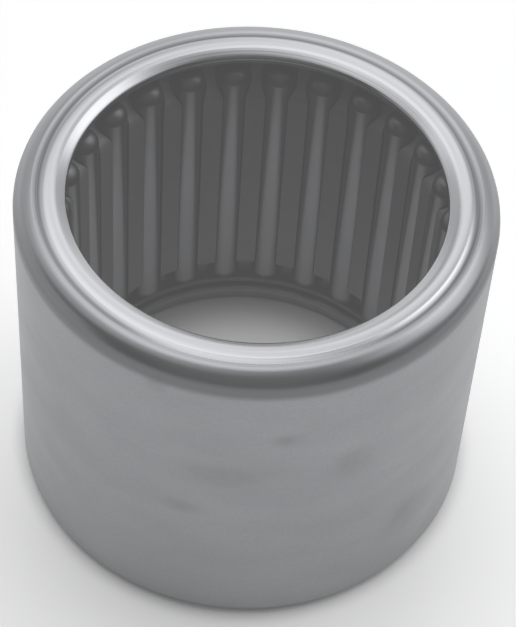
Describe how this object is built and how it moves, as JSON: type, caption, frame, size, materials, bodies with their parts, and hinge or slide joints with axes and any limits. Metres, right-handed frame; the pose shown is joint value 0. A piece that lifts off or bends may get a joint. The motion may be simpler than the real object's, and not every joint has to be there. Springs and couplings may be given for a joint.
{
  "type": "needle roller bearing",
  "caption": "Open-ended drawn-cup needle roller bearing: a thin steel cup with inturned lips holds a sheet-steel window cage of needle rollers that run straight on the shaft.",
  "frame": {"origin": "centre of the lower, drawn end face, on the bearing's axis", "axes": "+Z along the bearing's axis from the drawn lip to the turned-in lip; +X through the first needle roller"},
  "size_m": [0.027, 0.027, 0.0222],
  "materials": {
    "cup_steel": "hardened sheet steel, tumbled satin grey, lip bright",
    "cage_steel": "pressed sheet steel, dull grey phosphate",
    "needle_steel": "ground bearing steel, lightly oiled"
  },
  "bodies": {
    "cup": {"outer_cup": "cup_steel"},
    "cage": {"roller_cage": "cage_steel"},
    "needle_01": {"needle_roller_01": "needle_steel"},
    "needle_02": {"needle_roller_02": "needle_steel"},
    "needle_03": {"needle_roller_03": "needle_steel"},
    "needle_04": {"needle_roller_04": "needle_steel"},
    "needle_05": {"needle_roller_05": "needle_steel"},
    "needle_06": {"needle_roller_06": "needle_steel"},
    "needle_07": {"needle_roller_07": "needle_steel"},
    "needle_08": {"needle_roller_08": "needle_steel"},
    "needle_09": {"needle_roller_09": "needle_steel"},
    "needle_10": {"needle_roller_10": "needle_steel"},
    "needle_11": {"needle_roller_11": "needle_steel"},
    "needle_12": {"needle_roller_12": "needle_steel"},
    "needle_13": {"needle_roller_13": "needle_steel"},
    "needle_14": {"needle_roller_14": "needle_steel"},
    "needle_15": {"needle_roller_15": "needle_steel"},
    "needle_16": {"needle_roller_16": "needle_steel"},
    "needle_17": {"needle_roller_17": "needle_steel"},
    "needle_18": {"needle_roller_18": "needle_steel"},
    "needle_19": {"needle_roller_19": "needle_steel"},
    "needle_20": {"needle_roller_20": "needle_steel"},
    "needle_21": {"needle_roller_21": "needle_steel"},
    "needle_22": {"needle_roller_22": "needle_steel"},
    "needle_23": {"needle_roller_23": "needle_steel"},
    "needle_24": {"needle_roller_24": "needle_steel"},
    "needle_25": {"needle_roller_25": "needle_steel"},
    "needle_26": {"needle_roller_26": "needle_steel"}
  },
  "joints": [
    {"name": "cage_spin", "type": "hinge", "parent": "cup", "child": "cage", "pos_m": [0, 0, 0], "axis": [0, 0, 1], "continuous": true},
    {"name": "needle_01_spin", "type": "hinge", "parent": "cage", "child": "needle_01", "pos_m": [0.01129, 0, 0.0113], "axis": [0, 0, 1], "continuous": true},
    {"name": "needle_02_spin", "type": "hinge", "parent": "cage", "child": "needle_02", "pos_m": [0.01096, 0.0027, 0.0113], "axis": [0, 0, 1], "continuous": true},
    {"name": "needle_03_spin", "type": "hinge", "parent": "cage", "child": "needle_03", "pos_m": [0.01, 0.00525, 0.0113], "axis": [0, 0, 1], "continuous": true},
    {"name": "needle_04_spin", "type": "hinge", "parent": "cage", "child": "needle_04", "pos_m": [0.00845, 0.00749, 0.0113], "axis": [0, 0, 1], "continuous": true},
    {"name": "needle_05_spin", "type": "hinge", "parent": "cage", "child": "needle_05", "pos_m": [0.00641, 0.00929, 0.0113], "axis": [0, 0, 1], "continuous": true},
    {"name": "needle_06_spin", "type": "hinge", "parent": "cage", "child": "needle_06", "pos_m": [0.004, 0.01056, 0.0113], "axis": [0, 0, 1], "continuous": true},
    {"name": "needle_07_spin", "type": "hinge", "parent": "cage", "child": "needle_07", "pos_m": [0.00136, 0.01121, 0.0113], "axis": [0, 0, 1], "continuous": true},
    {"name": "needle_08_spin", "type": "hinge", "parent": "cage", "child": "needle_08", "pos_m": [-0.00136, 0.01121, 0.0113], "axis": [0, 0, 1], "continuous": true},
    {"name": "needle_09_spin", "type": "hinge", "parent": "cage", "child": "needle_09", "pos_m": [-0.004, 0.01056, 0.0113], "axis": [0, 0, 1], "continuous": true},
    {"name": "needle_10_spin", "type": "hinge", "parent": "cage", "child": "needle_10", "pos_m": [-0.00641, 0.00929, 0.0113], "axis": [0, 0, 1], "continuous": true},
    {"name": "needle_11_spin", "type": "hinge", "parent": "cage", "child": "needle_11", "pos_m": [-0.00845, 0.00749, 0.0113], "axis": [0, 0, 1], "continuous": true},
    {"name": "needle_12_spin", "type": "hinge", "parent": "cage", "child": "needle_12", "pos_m": [-0.01, 0.00525, 0.0113], "axis": [0, 0, 1], "continuous": true},
    {"name": "needle_13_spin", "type": "hinge", "parent": "cage", "child": "needle_13", "pos_m": [-0.01096, 0.0027, 0.0113], "axis": [0, 0, 1], "continuous": true},
    {"name": "needle_14_spin", "type": "hinge", "parent": "cage", "child": "needle_14", "pos_m": [-0.01129, 0, 0.0113], "axis": [0, 0, 1], "continuous": true},
    {"name": "needle_15_spin", "type": "hinge", "parent": "cage", "child": "needle_15", "pos_m": [-0.01096, -0.0027, 0.0113], "axis": [0, 0, 1], "continuous": true},
    {"name": "needle_16_spin", "type": "hinge", "parent": "cage", "child": "needle_16", "pos_m": [-0.01, -0.00525, 0.0113], "axis": [0, 0, 1], "continuous": true},
    {"name": "needle_17_spin", "type": "hinge", "parent": "cage", "child": "needle_17", "pos_m": [-0.00845, -0.00749, 0.0113], "axis": [0, 0, 1], "continuous": true},
    {"name": "needle_18_spin", "type": "hinge", "parent": "cage", "child": "needle_18", "pos_m": [-0.00641, -0.00929, 0.0113], "axis": [0, 0, 1], "continuous": true},
    {"name": "needle_19_spin", "type": "hinge", "parent": "cage", "child": "needle_19", "pos_m": [-0.004, -0.01056, 0.0113], "axis": [0, 0, 1], "continuous": true},
    {"name": "needle_20_spin", "type": "hinge", "parent": "cage", "child": "needle_20", "pos_m": [-0.00136, -0.01121, 0.0113], "axis": [0, 0, 1], "continuous": true},
    {"name": "needle_21_spin", "type": "hinge", "parent": "cage", "child": "needle_21", "pos_m": [0.00136, -0.01121, 0.0113], "axis": [0, 0, 1], "continuous": true},
    {"name": "needle_22_spin", "type": "hinge", "parent": "cage", "child": "needle_22", "pos_m": [0.004, -0.01056, 0.0113], "axis": [0, 0, 1], "continuous": true},
    {"name": "needle_23_spin", "type": "hinge", "parent": "cage", "child": "needle_23", "pos_m": [0.00641, -0.00929, 0.0113], "axis": [0, 0, 1], "continuous": true},
    {"name": "needle_24_spin", "type": "hinge", "parent": "cage", "child": "needle_24", "pos_m": [0.00845, -0.00749, 0.0113], "axis": [0, 0, 1], "continuous": true},
    {"name": "needle_25_spin", "type": "hinge", "parent": "cage", "child": "needle_25", "pos_m": [0.01, -0.00525, 0.0113], "axis": [0, 0, 1], "continuous": true},
    {"name": "needle_26_spin", "type": "hinge", "parent": "cage", "child": "needle_26", "pos_m": [0.01096, -0.0027, 0.0113], "axis": [0, 0, 1], "continuous": true}
  ],
  "couplings": [
    {"joint": "needle_01_spin", "follows": "cage_spin", "ratio": -12.319},
    {"joint": "needle_02_spin", "follows": "cage_spin", "ratio": -12.319},
    {"joint": "needle_03_spin", "follows": "cage_spin", "ratio": -12.319},
    {"joint": "needle_04_spin", "follows": "cage_spin", "ratio": -12.319},
    {"joint": "needle_05_spin", "follows": "cage_spin", "ratio": -12.319},
    {"joint": "needle_06_spin", "follows": "cage_spin", "ratio": -12.319},
    {"joint": "needle_07_spin", "follows": "cage_spin", "ratio": -12.319},
    {"joint": "needle_08_spin", "follows": "cage_spin", "ratio": -12.319},
    {"joint": "needle_09_spin", "follows": "cage_spin", "ratio": -12.319},
    {"joint": "needle_10_spin", "follows": "cage_spin", "ratio": -12.319},
    {"joint": "needle_11_spin", "follows": "cage_spin", "ratio": -12.319},
    {"joint": "needle_12_spin", "follows": "cage_spin", "ratio": -12.319},
    {"joint": "needle_13_spin", "follows": "cage_spin", "ratio": -12.319},
    {"joint": "needle_14_spin", "follows": "cage_spin", "ratio": -12.319},
    {"joint": "needle_15_spin", "follows": "cage_spin", "ratio": -12.319},
    {"joint": "needle_16_spin", "follows": "cage_spin", "ratio": -12.319},
    {"joint": "needle_17_spin", "follows": "cage_spin", "ratio": -12.319},
    {"joint": "needle_18_spin", "follows": "cage_spin", "ratio": -12.319},
    {"joint": "needle_19_spin", "follows": "cage_spin", "ratio": -12.319},
    {"joint": "needle_20_spin", "follows": "cage_spin", "ratio": -12.319},
    {"joint": "needle_21_spin", "follows": "cage_spin", "ratio": -12.319},
    {"joint": "needle_22_spin", "follows": "cage_spin", "ratio": -12.319},
    {"joint": "needle_23_spin", "follows": "cage_spin", "ratio": -12.319},
    {"joint": "needle_24_spin", "follows": "cage_spin", "ratio": -12.319},
    {"joint": "needle_25_spin", "follows": "cage_spin", "ratio": -12.319},
    {"joint": "needle_26_spin", "follows": "cage_spin", "ratio": -12.319}
  ]
}
